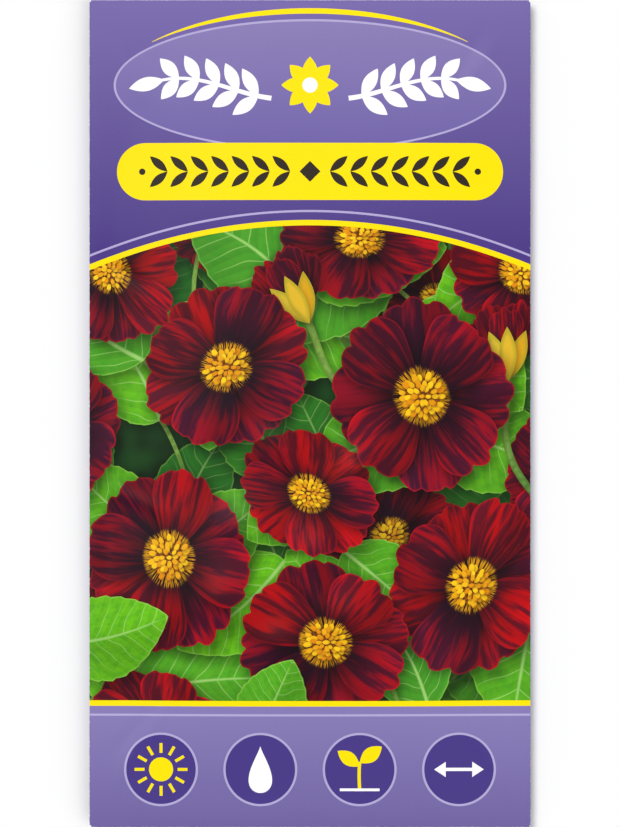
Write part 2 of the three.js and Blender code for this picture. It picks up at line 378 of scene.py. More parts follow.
class Blossom:
    """A single blossom with broad notched petals round a button of stamens."""

    def __init__(self, x, y, radius, turn, lean=0.0, lean_to=0.0, seed=1, depth=0.0):
        self.centre = points(x, y)
        self.turn = turn
        self.dim = 1 - 0.45 * depth
        self.draw = random.Random(seed)
        away = toward(lean_to)
        axis = np.stack([away, leftward(away)])
        squash = np.diag([1 - lean, 1.0])
        self.form = axis.T @ squash @ axis * radius  # leaning away shortens one direction
        self.unform = np.linalg.inv(self.form)
        self.button = away * lean * 0.25  # where the button sits on a leaning one

    def placed(self, outline):
        return outline @ self.form.T + self.centre

    def unplaced(self, place):
        return (place - self.centre) @ self.unform.T

    def petal_edge(self, along, half, width):
        """The outline of a petal along x, from half of its profile."""
        draw = self.draw
        side = np.concatenate([-half, half[-2::-1]])
        reach = np.concatenate([along, along[-2::-1]])
        from_notch = np.abs(side / width - draw.uniform(-0.1, 0.1)) - NOTCH_PLACE
        notch = NOTCH_DEPTH * np.exp(-((from_notch / NOTCH_WIDTH) ** 2))
        wave = 0.018 * np.sin(7 * (side / width) + draw.uniform(0, 6))
        reach = reach * (1 - (notch + wave) * smooth(0.6, 0.95, reach))
        side = side * (1 + 0.03 * np.sin(9 * reach + draw.uniform(0, 6)))
        return np.stack([reach, side], 1)

    def petal(self, heading, length, width, tone, drop=0.7):
        """One petal, with its own coordinates outwards and from side to side."""
        along = 1 - 0.95 * np.linspace(1, 0, PETAL_POINTS) ** 2
        half = along**0.85 * (1 - along**3.6) ** 0.55
        half *= width / half.max()
        edge = turned(self.petal_edge(along, half, width) * (length, 1), heading)
        ahead, widest = toward(heading), np.maximum.accumulate(half)

        def own(place):
            local = self.unplaced(place) - self.button
            widths = np.interp(local @ ahead / length, along, widest)
            outwards = np.linalg.norm(local, axis=1) / length
            return np.stack([outwards, local @ leftward(ahead) / widths], 1)

        world = unit(self.form @ ahead)
        facing, sideways = world @ LIGHT_FROM, leftward(world) @ LIGHT_FROM
        fold, pleat = self.draw.uniform(-0.2, 0.2), self.draw.uniform(0, 6)

        def light(local):
            outwards, over = local[:, 0], np.clip(local[:, 1], -1.2, 1.2)
            open_part = smooth(0.15, 0.7, outwards)
            bowl = 1 - 0.22 * facing * smooth(0.3, 1.0, outwards)
            roll = 1 + 0.34 * sideways * np.sin(1.5 * (over - fold)) * open_part
            pleats = 1 + 0.1 * np.cos(6.5 * over + pleat) * open_part
            return self.dim * bowl * roll * pleats * (0.66 + 0.5 * smooth(0.1, 0.95, outwards))

        outline = self.placed(edge + self.button)
        return Shape(outline, "petal", own, tone, light, shadow=0.62, blur=1.3 + drop, drop=drop)

    def open_petals(self):
        """Four petals, and four over them in the gaps."""
        draw, made = self.draw, []
        for k in sorted(range(PETALS), key=lambda k: k % 2):
            heading = self.turn + 360 * k / PETALS + draw.uniform(-5, 5)
            length, width = draw.uniform(0.93, 1.04), draw.uniform(0.36, 0.42)
            drop = (1.4, 0.6)[k % 2]
            made.append(self.petal(heading, length, width, draw.random(), drop))
        return made

    def oval(self, centre, radius_x, radius_y, ink, tone, shadow, blur):
        """A small oval that points outwards, with its own coordinates from its middle."""
        x, y = centre - self.button
        outline = turned(ellipse((0, 0), radius_x, radius_y), math.degrees(math.atan2(y, x)))

        def own(place):
            return (self.unplaced(place) - centre) / radius_x

        outline = self.placed(outline + centre)
        return Shape(outline, ink, own, tone, self.dim, shadow, blur, drop=0.25)

    def stamens(self):
        """A dark disc crowded with anthers."""
        draw = self.draw
        made = [self.oval(self.button, DISC, DISC, "disc", tone=0.3, shadow=0.6, blur=0.9)]
        for count, reach, length in ANTHERS:
            for k in range(count):
                angle = 360 * (k + draw.uniform(-0.3, 0.3)) / count
                centre = self.button + toward(angle, reach * draw.uniform(0.88, 1.12))
                size = length * draw.uniform(0.75, 1.05)
                grain = self.oval(centre, size, size * 0.62, "pollen", draw.random(), 0.5, 0.25)
                made.append(grain)
        return made

    def shapes(self):
        return self.open_petals() + self.stamens()

    def side_view(self):
        """Half open and seen from the side: petals fanned over a calyx."""
        stalk = self.centre - turned(points((0, 0), (8, 0), (15, -5), (26, 7)), self.turn)
        made = [stem(*stalk, width=1.3)]
        for spread, length in ((-30, 0.9), (31, 0.88), (-14, 1.02), (17, 0.98), (1, 0.9)):
            tone = self.draw.uniform(0.1, 0.9)
            made.append(self.petal(self.turn + spread, length, 0.25, tone))
        for spread in (-26, 26, 0):
            sepal = lens(toward(self.turn, -0.16), toward(self.turn + spread, 0.62), 0.25)
            outline, tone = self.placed(sepal), 0.5 + spread / 60
            made.append(Shape(outline, "sepal", tone=tone, shadow=0.4, blur=0.8, drop=0.7))
        return made


LEAF_POINTS = 44  # along each side of a leaf
LEAF_TEETH = 11


def leaf(x, y, length, width, heading, tone, seed, depth=0.0):
    """A toothed oval leaf with its stalk end at (x, y); depth dims one that lies far back."""
    draw = random.Random(seed)
    even = np.linspace(0, 1, LEAF_POINTS)
    share = 0.5 * even + 0.25 * (1 - np.cos(math.pi * even))
    profile = share**0.6 * (1 - share) ** 0.85
    teeth = 0.06 * (even * LEAF_TEETH % 1)
    half = width / 2 * profile / profile.max() * (1 + teeth)
    bend = draw.uniform(-0.12, 0.12) * length
    rib = np.stack([share * length, bend * np.sin(math.pi * share)], 1)
    base = points(x, y)
    outline = turned(blade(rib, half[:, None] * (0, 1)), heading) + base

    def own(place):
        local = turned(place - base, -heading)
        along = local[:, 0] / length
        over = local[:, 1] - bend * np.sin(math.pi * np.clip(along, 0, 1))
        return np.stack([along, over / (width / 2)], 1)

    sideways = leftward(toward(heading)) @ LIGHT_FROM
    sheen = draw.uniform(0, 6)

    def light(local):
        along, over = local.T
        halves = 1 + 0.2 * sideways * np.tanh(5 * over)
        curl = 1 - 0.22 * sideways * over
        waves = 1 + 0.1 * np.sin(5 * along + 2 * over + sheen)
        return halves * curl * waves * (1 - 0.5 * depth)

    return Shape(outline, "leaf", own, tone, light, shadow=0.6, blur=2.4, drop=1.3)


def stem(*controls, width=1.1, depth=0.0):
    path = curve(*controls)

    def own(place):
        reach = np.linalg.norm(place[:, None] - path[None], axis=2)
        return np.stack([reach.argmin(1) / len(path), reach.min(1) / (width / 2)], 1)

    def light(local):
        return (1.15 - 0.5 * np.clip(local[:, 1], 0, 1) ** 2) * (1 - 0.5 * depth)

    return Shape(ribbon(path, width), "stem", own, light=light, shadow=0.5, blur=1.2, drop=1.0)


# x, y, radius, turn, lean and the way that it leans, of blossoms far back among the leaves,
FAR_BLOSSOMS = [
    (-14, 33, 12.0, 33, 0.3, 100),
    (23, 20, 12.0, 20, 0.2, 60),
    (-46, -42, 13.0, 12, 0.2, 170),
    (14, -22, 13.0, 28, 0.15, 300),
    (45, -52, 13.0, 36, 0.2, 330),
    (-12, -62, 12.0, 5, 0.3, 270),
]
# of those over the leaves
MIDDLE_BLOSSOMS = [
    (-36, 26, 14.0, 10, 0.12, 200),
    (9, 31, 15.0, 25, 0.22, 90),
    (38, 25, 14.0, 30, 0.15, 60),
    (-44, -3, 13.5, 15, 0.25, 180),
    (0, -14, 13.5, 40, 0.2, 240),
    (45, -11, 13.5, 8, 0.2, 0),
]
# and of those over the buds
FRONT_BLOSSOMS = [
    (-15, 8, 16.5, 22, 0.1, 120),
    (20, 3, 17.5, 5, 0.06, 20),
    (-25, -26, 17.0, 33, 0.12, 190),
    (29, -31, 16.5, 18, 0.08, 330),
    (3, -41, 16.0, 12, 0.1, 260),
    (-27, -57, 14.5, 27, 0.25, 250),
    (27, -62, 14.5, 2, 0.3, 280),
]
# x, y, size and heading of buds that are half open
BUDS = [(-1, 18, 12.5, 118), (36, 8, 12.5, 92)]
# x, y, length, width, heading and tone of the leaves that lie over some of the blossoms
NEAR_LEAVES = [(-47, -42, 22, 15, 14, 0.9), (-10, -60, 17, 12.5, 66, 0.6)]
LEAFY = (-44, -60, 88, 96)  # left, bottom, width and height of what the other leaves cover


def leaf_layer(columns, rows, lengths, tones, seed, depth=0.0):
    """Leaves at uneven places all over the picture, pointing every way."""
    draw = random.Random(seed)
    left, bottom, wide, tall = LEAFY
    made = []
    for k in range(columns * rows):
        x = left + wide * (k % columns + draw.uniform(0.1, 0.9)) / columns
        y = bottom + tall * (k // columns + draw.uniform(0.1, 0.9)) / rows
        length, heading = draw.uniform(*lengths), draw.uniform(0, 360)
        width = length * draw.uniform(0.6, 0.78)
        stalk = points((-0.5, 0), (-0.7, 0), (-1.05, draw.uniform(-0.2, 0.2))) * length
        stalk = turned(stalk, heading) + (x, y)
        made.append(stem(*stalk, width=0.8, depth=depth))
        tone = draw.uniform(*tones)
        made.append(leaf(*stalk[0], length, width, heading, tone, seed + k, depth))
    return made


def blossoms(table, seed, depth=0.0):
    made = [Blossom(*row, seed=seed + k, depth=depth).shapes() for k, row in enumerate(table)]
    return sum(made, [])


def picture():
    """The leaves, stems and blossoms, from the back of the picture to its front."""
    made = leaf_layer(5, 6, lengths=(18, 25), tones=(0.0, 0.5), seed=300, depth=0.8)
    made += blossoms(FAR_BLOSSOMS, 40, depth=0.8)
    made += leaf_layer(5, 5, lengths=(20, 28), tones=(0.35, 1.0), seed=500)
    made += blossoms(MIDDLE_BLOSSOMS, 20)
    for k, bud in enumerate(BUDS):
        made += Blossom(*bud, seed=60 + k).side_view()
    made += blossoms(FRONT_BLOSSOMS, 26)
    return made + [leaf(*near_leaf, seed=80 + k) for k, near_leaf in enumerate(NEAR_LEAVES)]


# --- the bands above and below the picture ---

BEYOND = 6  # bands and picture run past the front's edges by this much before the trim
ARCH_TOP = 34  # the picture's upper edge is an arch
ARCH_DROP = 8  # from its middle to the sides of the packet
BAND_TOP = -53  # the picture's lower edge
LINE = 1.0  # width of the yellow lines along the picture
HAIRLINE = 0.4
UPPER_HAIRLINE, LOWER_HAIRLINE = 2.6, 1.6  # distance from the picture's edges to lilac lines
CUSHION = (0, 59.5)  # the pale oval in the upper band
CUSHION_RADII = points(35.2, 11.6)
SWOOP = ((0, 56), 38.5, 17.0, 42, 138)  # middle, radii, start and end of the arc over it
PLATE = (0, 43.8)  # the yellow plate under it
PLATE_WIDTH, PLATE_HEIGHT = 70, 10.4
PLATE_LEAVES, PLATE_LEAF_START, PLATE_LEAF_SPACING = 7, 3.6, 3.7  # pairs to each side
PLATE_LEAF_REACH, PLATE_LEAF_LIFT, PLATE_LEAF_WIDTH = 3.2, 2.8, 1.5
SPRIG_STALK = points((7, -2.4), (14, -1.6), (20, 2.6), (27.4, 0.8))  # controls of its curve
LEAFLET_LENGTH, LEAFLET_WIDTH, LEAFLET_TILT = 5.8, 2.4, 48
LEAFLET_START, LEAFLET_SPACING = 2.4, 3.7  # of the pairs along the stalk
SIGN_RADIUS = 6.3
SIGNS = [(x, -64.5) for x in (-27, -9, 9, 27)]  # sun, water, a seedling and spacing


def arch(rise=0.0):
    x = np.linspace(-WIDTH / 2 - BEYOND, WIDTH / 2 + BEYOND, 120)
    return np.stack([x, ARCH_TOP + rise - ARCH_DROP * (x / (WIDTH / 2)) ** 2], 1)


def bands():
    """The upper band with its oval and plate, and the lower band."""
    x, y = WIDTH / 2 + BEYOND, HEIGHT / 2 + BEYOND
    upper = np.concatenate([arch(), points((x, y), (-x, y))])
    lower = points((-x, BAND_TOP), (x, BAND_TOP))
    swoop = ellipse(*SWOOP)
    swelling = np.sin(math.pi * np.linspace(0.03, 0.97, len(swoop)))
    return (
        inked("violet", upper)
        + inked("yellow", ribbon(arch(LINE / 2), LINE))
        + inked("lilac", ribbon(arch(UPPER_HAIRLINE), HAIRLINE))
        + inked("lilac", ellipse(CUSHION, *CUSHION_RADII + HAIRLINE))
        + inked("cushion", ellipse(CUSHION, *CUSHION_RADII))
        + inked("yellow", ribbon(swoop, swelling))
        + inked("yellow", pill(PLATE, PLATE_WIDTH, PLATE_HEIGHT, PLATE_HEIGHT / 2))
        + inked("heather", box(-x, x, -y, BAND_TOP))
        + inked("yellow", ribbon(lower + (0, LINE / 2), LINE))
        + inked("lilac", ribbon(lower - (0, LOWER_HAIRLINE), HAIRLINE))
    )


def sprigs():
    """A plain white sprig of leaves to both sides of a yellow rosette, on the oval."""
    made = []
    for side in (-1, 1):
        path = curve(*SPRIG_STALK * (side, 1))
        parts = [ribbon(path, np.linspace(0.9, 0.5, len(path)))]
        for k, (place, heading) in enumerate(stations(path, LEAFLET_START, LEAFLET_SPACING)):
            for tilt in (LEAFLET_TILT, -LEAFLET_TILT):
                tip = place + toward(heading + tilt, LEAFLET_LENGTH - 0.2 * k)
                parts.append(lens(place, tip, LEAFLET_WIDTH))
        parts.append(lens(path[-2], path[-1] + (5.4 * side, -1.4), 2.5))
        made += inked("white", *parts, at=CUSHION)
    petals = [lens((0, 0), toward(45 * k, 5.2), 2.7) for k in range(8)]
    return made + inked("yellow", *petals, at=CUSHION) + inked("white", ellipse(CUSHION, 1.4))


def plate_ornament():
    """A row of small dark leaves along the yellow plate, to both sides of a lozenge."""
    parts = [points((-1.9, 0), (0, -1.9), (1.9, 0), (0, 1.9))]
    for side in (-1, 1):
        for k in range(PLATE_LEAVES):
            foot = PLATE_LEAF_START + PLATE_LEAF_SPACING * k
            for lift in (-PLATE_LEAF_LIFT, PLATE_LEAF_LIFT):
                tip = ((foot + PLATE_LEAF_REACH) * side, lift)
                parts.append(lens((foot * side, 0), tip, PLATE_LEAF_WIDTH))
        parts.append(ellipse((30.4 * side, 0), 0.6))
    return inked("umber", *parts, at=PLATE)


def growing_signs():
    """Plain signs in the lower band, each on a dark round: sun, water, a seedling and spacing."""
    made = []
    for place in SIGNS:
        made += inked("lilac", ellipse(place, SIGN_RADIUS + HAIRLINE))
        made += inked("deep_violet", ellipse(place, SIGN_RADIUS))
    rays = [ribbon(turned(points((3.0, 0), (4.8, 0)), 30 * k), 0.55) for k in range(12)]
    angle = np.linspace(0, 2 * math.pi, 44, endpoint=False)
    drop = np.stack([3.1 * np.sin(angle) * np.sin(angle / 2) ** 1.6, 4.3 * np.cos(angle)], 1)
    stalk = ribbon(curve((0, -3.6), (-0.2, -1), (0, 1.4), count=12), 0.6)
    leaves = [lens((0, 0.6), (-4, 3.4), 2.5), lens((0, 1.2), (4, 4.2), 2.7)]
    head = points((4.5, 0), (2.4, 1.4), (2.4, -1.4))
    made += inked("yellow", ellipse((0, 0), 2.2), *rays, at=SIGNS[0])
    made += inked("white", drop, at=SIGNS[1])
    made += inked("yellow", stalk, *leaves, at=SIGNS[2])
    made += inked("white", box(-3.6, 3.6, -3.95, -3.45), at=SIGNS[2])
    made += inked("white", box(-2.6, 2.6, -0.3, 0.3), head * (-1, 1), head, at=SIGNS[3])
    return made


# --- the back of the packet ---

PRINT_WRAP = 0.15  # the front's print ends this far past the middle of a fold
# Middle, width, height and corner radius of the white field, its yellow border and the bare plate
FIELD = ((0, 6), 67, 83, 3.6)
FIELD_BORDER = ((0, 6), 68, 84, 4.0)
BARE_PLATE = ((0, 39), 46, 7, 3.5)
RULES, RULE_TOP, RULE_SPACING, RULE_REACH = 9, 29, 7, 28
MONTH_X, MONTH_Y, MONTH_SPACING, MONTH_SIZE = 27.5, -45, 5, 4.2
SOWING = (3, 4, 5)  # the months that are marked, counted from 0
FLAP_LINE = (1.6, 2.4)  # a line along a flap's free edge lies between these distances from it


def on_panels(ink, *outlines):
    """Shapes of the back, given as they lie on the packet, on both of the panels there."""
    made = []
    for outline in outlines:
        for side in (-1, 1):
            made += inked(ink, outline * (-1, 1), at=(side * (2 * SIDE_X + SIDE_TURN), 0))
    return made


def panel_print():
    """The side panels in the lower band's colour, with a bare field and a row of months."""
    tall, far = HEIGHT / 2 + BEYOND, BLANK_X + BEYOND
    fold = SIDE_X + SIDE_TURN / 2 + PRINT_WRAP
    made = inked("heather", box(fold, far, -tall, tall), box(-far, -fold, -tall, tall))
    for ink, edge in (("yellow", FIELD_BORDER), ("white", FIELD), ("cushion", BARE_PLATE)):
        made += on_panels(ink, pill(*edge))
    rule = box(-RULE_REACH, RULE_REACH, -HAIRLINE / 2, HAIRLINE / 2) + (0, RULE_TOP)
    made += on_panels("lilac", *[rule - (0, RULE_SPACING * k) for k in range(RULES)])
    for k in range(12):
        month = pill((MONTH_X - MONTH_SPACING * k, MONTH_Y), MONTH_SIZE, MONTH_SIZE, 0.8)
        made += on_panels("yellow" if k in SOWING else "lilac", month)
    return made


def flap_print():
    """The end flaps in the darkest violet, with a yellow line along their free edges."""
    wide = FLAP_HALF_WIDTH + BEYOND
    fold = END_Y + END_TURN / 2 + PRINT_WRAP
    near, far = FLAP_LINE
    ends = [(1, BLANK_TOP), (-1, -BLANK_BOTTOM)]
    grounds = [box(-wide, wide, fold, edge + BEYOND) * (1, side) for side, edge in ends]
    lines = [box(-wide, wide, edge - far, edge - near) * (1, side) for side, edge in ends]
    return inked("deep_violet", *grounds) + inked("yellow", *lines)


# --- meshes ---


def free_edges(tris):
    """The edges that only one triangle has, each running the way that its triangle does."""
    edges = np.concatenate([tris[:, [0, 1]], tris[:, [1, 2]], tris[:, [2, 0]]]).astype(np.int64)
    count = tris.max() + 1
    ahead, reverse = edges @ (count, 1), edges @ (1, count)
    return edges[~np.isin(ahead, reverse)]


def new_mesh(name, places, faces):
    """A smooth mesh in metres from places in millimetres."""
    mesh = bpy.data.meshes.new(name)
    mesh.from_pydata((places * MM).tolist(), [], faces.tolist())
    mesh.polygons.foreach_set("use_smooth", np.ones(len(faces), bool))
    return mesh


def sheet(name, top, top_tris, bottom, bottom_tris, under):
    """A thin closed mesh: its top, its bottom, and a rim from each point of the top's edge down
    to the one under it. Also its faces, in that order."""
    a, b = free_edges(top_tris).T
    rim = np.concatenate([np.stack([b, a, under[a]], 1), np.stack([b, under[a], under[b]], 1)])
    faces = np.concatenate([top_tris, bottom_tris[:, ::-1] + len(top), rim])
    return new_mesh(name, np.concatenate([top, bottom]), faces), faces


def new_object(name, data):
    made = bpy.data.objects.new(name, data)
    bpy.context.scene.collection.objects.link(made)
    return made


def add_piece(mesh, slot, node, *materials):
    """Puts a finished mesh in the scene, in the place of a node of the frame."""
    piece = new_object(mesh.name, mesh)
    for material in materials:
        mesh.materials.append(material)
    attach(piece, "root")
    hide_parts(node)


# --- cutting the blank along its print and folding it ---

FRONT_GRID, BACK_GRID, INNER_GRID = 0.7, 1.5, 1.2  # between the points that fill the blank
CLEARANCE = 0.4  # of the front grid, kept between the grids' points and the outlines'
FOLD_CLEARANCE = 0.05  # between the folds' rows of points and the outlines'
DARKEST_SHADOW = 0.25
DEEP = 5.0  # stands for the distance to an outline where there is none
BAKE_SPAN = 188  # the flat blank fits a square of this size
INNER_SCALE = 0.1  # the sheet's plain inner face needs little room on that square
INNER_PLACE = (-76, 84.5)


def blank_outline():
    """The outline of the flat sheet."""
    corner = FLAP_CORNER
    beside = [(SIDE_X, END_Y), (SIDE_X, PANEL_END_Y), (BLANK_X, PANEL_END_Y)]

    def quarter(reach):
        centre = (FLAP_HALF_WIDTH - corner, reach - corner)
        flap = ellipse(centre, corner, start=90, end=0).tolist()
        return flap + [(FLAP_HALF_WIDTH, END_Y)] + beside

    right = quarter(BLANK_TOP) + [(x, -y) for x, y in quarter(-BLANK_BOTTOM)[::-1]]
    left = [(-x, y) for x, y in right[::-1]]
    return divided(np.array(right + left)[::-1])


def grid(x0, x1, y0, y1, step):
    x = np.linspace(x0, x1, int((x1 - x0) / step) + 1)
    y = np.linspace(y0, y1, int((y1 - y0) / step) + 1)
    return np.stack(np.meshgrid(x, y), -1).reshape(-1, 2)


def fill_points(front_step, back_step):
    """Even points over the panels and flaps of the blank."""
    side, end = FOLD_U[0] - front_step, FOLD_V[0] - front_step
    panel = grid(FOLD_U[-1] + back_step, BLANK_X, -PANEL_END_Y, PANEL_END_Y, back_step)
    made = [grid(-side, side, -end, end, front_step), panel, panel * (-1, 1)]
    flap = FOLD_V[-1] + back_step
    for start, stop in ((BLANK_BOTTOM, -flap), (flap, BLANK_TOP)):
        made.append(grid(-FLAP_HALF_WIDTH, FLAP_HALF_WIDTH, start, stop, back_step))
    return np.concatenate(made)


def fold_points(step):
    """Rows of points that follow the folds."""
    along = np.arange(-PANEL_END_Y, PANEL_END_Y, step)
    across = np.arange(-FLAP_HALF_WIDTH, FLAP_HALF_WIDTH, step)
    made = []
    for u, v in zip(FOLD_U, FOLD_V):
        row = np.stack([np.full(len(along), u), along], 1)
        made += [row, row * (-1, 1)]
        row = np.stack([across, np.full(len(across), v)], 1)
        made += [row, row * (1, -1)]
    return np.concatenate(made)


def cut(outlines, front_step, back_step):
    """The blank in triangles: its points, its triangles, the last outline that holds each of
    them, and which of the outlines' points each point was."""
    spots, faces = [], []
    for outline in outlines:
        faces.append(list(range(len(spots), len(spots) + len(outline))))
        spots += [Vector(place) for place in outline]
    near = KDTree(len(spots))
    for i, spot in enumerate(spots):
        near.insert(spot.to_3d(), i)
    near.balance()
    wide = [(place, front_step * CLEARANCE) for place in fill_points(front_step, back_step)]
    for place, clear in wide + [(place, FOLD_CLEARANCE) for place in fold_points(front_step)]:
        if near.find((*place, 0))[2] > clear:
            spots.append(Vector(place))
    verts, _, tris, was, _, holders = delaunay_2d_cdt(spots, [], faces, 0, 1e-6, True)
    kept, top = zip(*[(tri, max(held)) for tri, held in zip(tris, holders) if 0 in held])
    used, tris = np.unique(kept, return_inverse=True)
    return np.array(verts)[used], tris.reshape(-1, 3), np.array(top), [was[i] for i in used]


def round_the_edge(edges):
    """The free edges' points, in order round the sheet."""
    follows = dict(edges.tolist())
    loop = [int(edges[0, 0])]
    while follows[loop[-1]] != loop[0]:
        loop.append(follows[loop[-1]])
    return loop


def light_left(shapes, place, owner):
    """How much light the shapes above leave to each place, given the shape that owns it."""
    left = np.ones(len(place))
    for k, shape in enumerate(shapes, 1):
        if not shape.shadow:
            continue
        toward_light = place + LIGHT_FROM * shape.drop
        lower, upper = shape.outline.min(0) - shape.blur, shape.outline.max(0) + shape.blur
        near = ((toward_light > lower) & (toward_light < upper)).all(1) & (owner < k)
        apart = distance(shape.outline, toward_light[near])
        left[near] *= 1 - shape.shadow * (1 - smooth(-0.6 * shape.blur, shape.blur, apart))
    return np.maximum(left, DARKEST_SHADOW)


def print_values(shapes, place, owner):
    """What the inks read at each place: own coordinates, tone, light and distance inwards."""
    own, light = place.copy(), np.ones(len(place))
    tone, inset = np.zeros(len(place)), np.full(len(place), DEEP)
    for k, shape in enumerate(shapes, 1):
        mine = owner == k
        if mine.any():
            own[mine] = shape.own(place[mine]) if shape.own else place[mine]
            light[mine] = shape.light(own[mine]) if callable(shape.light) else shape.light
            tone[mine] = shape.tone
            inset[mine] = np.abs(distance(shape.outline, place[mine]))
    return own, {"tone": tone, "light": light * light_left(shapes, place, owner), "inset": inset}


def add_map(mesh, name, places):
    layer = mesh.uv_layers.new(name=name, do_init=False)
    layer.uv.foreach_set("vector", places.astype(np.float32).ravel())


def add_print(mesh, shapes, flat, tris, top, on_blank):
    """Lays out the blank for baking, and gives the inks what they read. The printed triangles
    come first among the mesh's faces, and on_blank says where each of its corners lies flat."""
    many = len(shapes) + 1
    key, back = np.unique(tris.ravel() * many + np.repeat(top, 3), return_inverse=True)
    own, values = print_values(shapes, flat[key // many], key % many)
    bare = on_blank[tris.size:]
    layout = np.concatenate([on_blank[:tris.size], bare * INNER_SCALE + INNER_PLACE])
    middle = (0, (BLANK_TOP + BLANK_BOTTOM) / 2)
    add_map(mesh, "OFBake", (layout - middle) / BAKE_SPAN + 0.5)
    add_map(mesh, "motif", np.concatenate([own[back], bare]))
    for name, plain in (("tone", 0.0), ("light", 1.0), ("inset", DEEP)):
        layer = mesh.attributes.new(name, "FLOAT", "CORNER")
        layer.data.foreach_set("value", np.append(values[name][back], np.full(len(bare), plain)))


def inner_face(flat, edges):
    """The sheet's plain inner face: its flat points, its triangles, and the number of the point
    that lies under each point of the outer face's edge, counted on from the outer face's."""
    loop = round_the_edge(edges)
    inner_flat, tris, _, was = cut([flat[loop]], INNER_GRID, BACK_GRID)
    under = np.zeros(len(flat), int)
    for i, spots in enumerate(was):
        for spot in spots:
            if spot < len(loop):
                under[loop[spot]] = len(flat) + i
    return inner_flat, tris, under


def folded_packet(shapes, inks):
    """The whole envelope: the printed blank, cut along its shapes and folded."""
    outlines = [blank_outline()] + [shape.outline for shape in shapes]
    flat, tris, top, _ = cut(outlines, FRONT_GRID, BACK_GRID)
    edges = free_edges(tris)
    inner_flat, inner_tris, under = inner_face(flat, edges)
    normal, inner_normal = outward(*flat.T), outward(*inner_flat.T)
    outer = folded(*flat.T)
    inner = folded(*inner_flat.T) - inner_normal * PAPER
    mesh, faces = sheet("folded_packet", outer, tris, inner, inner_tris, under)

    names = ["foliage"] + [shape.ink for shape in shapes]
    laid = [names[k] for k in top] + ["bare_paper"] * len(inner_tris)
    laid += ["cut_edge"] * (len(faces) - len(laid))
    mesh.polygons.foreach_set("material_index", [inks.index(name) for name in laid])
    add_print(mesh, shapes, flat, tris, top, np.concatenate([flat, inner_flat])[faces.ravel()])

    a, b = edges.T
    away = unit(np.cross(outer[b] - outer[a], normal[a]))
    rim_normal = np.repeat(np.concatenate([away, away]), 3, axis=0)
    below = -inner_normal[inner_tris[:, ::-1].ravel()]
    mesh.normals_split_custom_set(np.concatenate([normal[tris.ravel()], below, rim_normal]))
    return mesh


# --- glue ---

GLUE_GRID = 1.0
GLUE_RAGGED, GLUE_WAVE = 0.25, 5  # how much a strip's edges waver, and the length of a wave
GLUE_END_Y = 71  # the strips stop here
GLUE_MARGIN = 1.5  # bare paper along a flap's free edge
SEAM_GLUE_HALF_WIDTH = 4


def glue_strip(name, edges, drop, seed):
    """A thin strip with wavering edges that follows the back, at a drop below its outer face."""
    x0, x1, y0, y1 = edges
    margin = 2 * GLUE_RAGGED
    outline = divided(box(x0 + margin, x1 - margin, y0 + margin, y1 - margin))
    waver = [ripple(*outline.T, GLUE_WAVE, seed + k) for k in range(2)]
    outline += GLUE_RAGGED * np.stack(waver, 1)
    filling = grid(x0, x1, y0, y1, GLUE_GRID)
    within = distance(outline, filling) < -GLUE_GRID / 2
    spots = np.concatenate([outline, filling[within]])
    face = list(range(len(outline)))
    flat, _, tris, *_ = delaunay_2d_cdt([Vector(spot) for spot in spots], [], [face], 1, 1e-6)
    x, y = np.array(flat).T
    bottom = np.stack([x, y, back_z(x, y) - drop], 1)
    tris, under = np.array(tris), np.arange(len(flat)) + len(flat)
    return sheet(name, bottom + (0, 0, GLUE), tris, bottom, tris, under)[0]


def add_glue():
    """The seam's strip lies on the outer panel, and the flaps' strips lie under both panels."""
    glue = dried_glue()
    seam, side, end = SEAM_GLUE_HALF_WIDTH, FLAP_HALF_WIDTH - FLAP_CORNER, GLUE_END_Y
    bottom = BOTTOM_FLAP - HEIGHT / 2 - GLUE_MARGIN
    top = HEIGHT / 2 - TOP_FLAP + GLUE_MARGIN
    on_seam, on_flap = -PAPER - GLUE_PLAY, GLUE + GLUE_PLAY
    strips = [
        ("seam_glue", "back_seam_glue", (-seam, seam, -end, end), on_seam),
        ("bottom_glue", "bottom_flap_glue", (-side, side, -end, bottom), on_flap),
        ("top_glue", "top_flap_glue", (-side, side, top, end), on_flap),
    ]
    for k, (name, node, edges, drop) in enumerate(strips):
        add_piece(glue_strip(name, edges, drop, seed=31 + 10 * k), "dried_glue", node, glue)


# --- node trees ---


def arithmetic(operation):
    """The methods of an operator and of its reflected form."""
    return (
        lambda self, other: self.nodes.math(operation, self, other),
        lambda self, other: self.nodes.math(operation, other, self),
    )


class Value:
    """A socket that takes part in arithmetic."""

    __add__, __radd__ = arithmetic("ADD")
    __sub__, __rsub__ = arithmetic("SUBTRACT")
    __mul__, __rmul__ = arithmetic("MULTIPLY")

    def __init__(self, nodes, socket):
        self.nodes, self.socket = nodes, socket

    def __abs__(self):
        return self.nodes.math("ABSOLUTE", self)


def srgb(code):
    """The linear colour of an sRGB code such as #fee401."""
    parts = [int(code[k:k + 2], 16) / 255 for k in (1, 3, 5)]
    return (*[p / 12.92 if p < 0.04045 else ((p + 0.055) / 1.055) ** 2.4 for p in parts], 1.0)


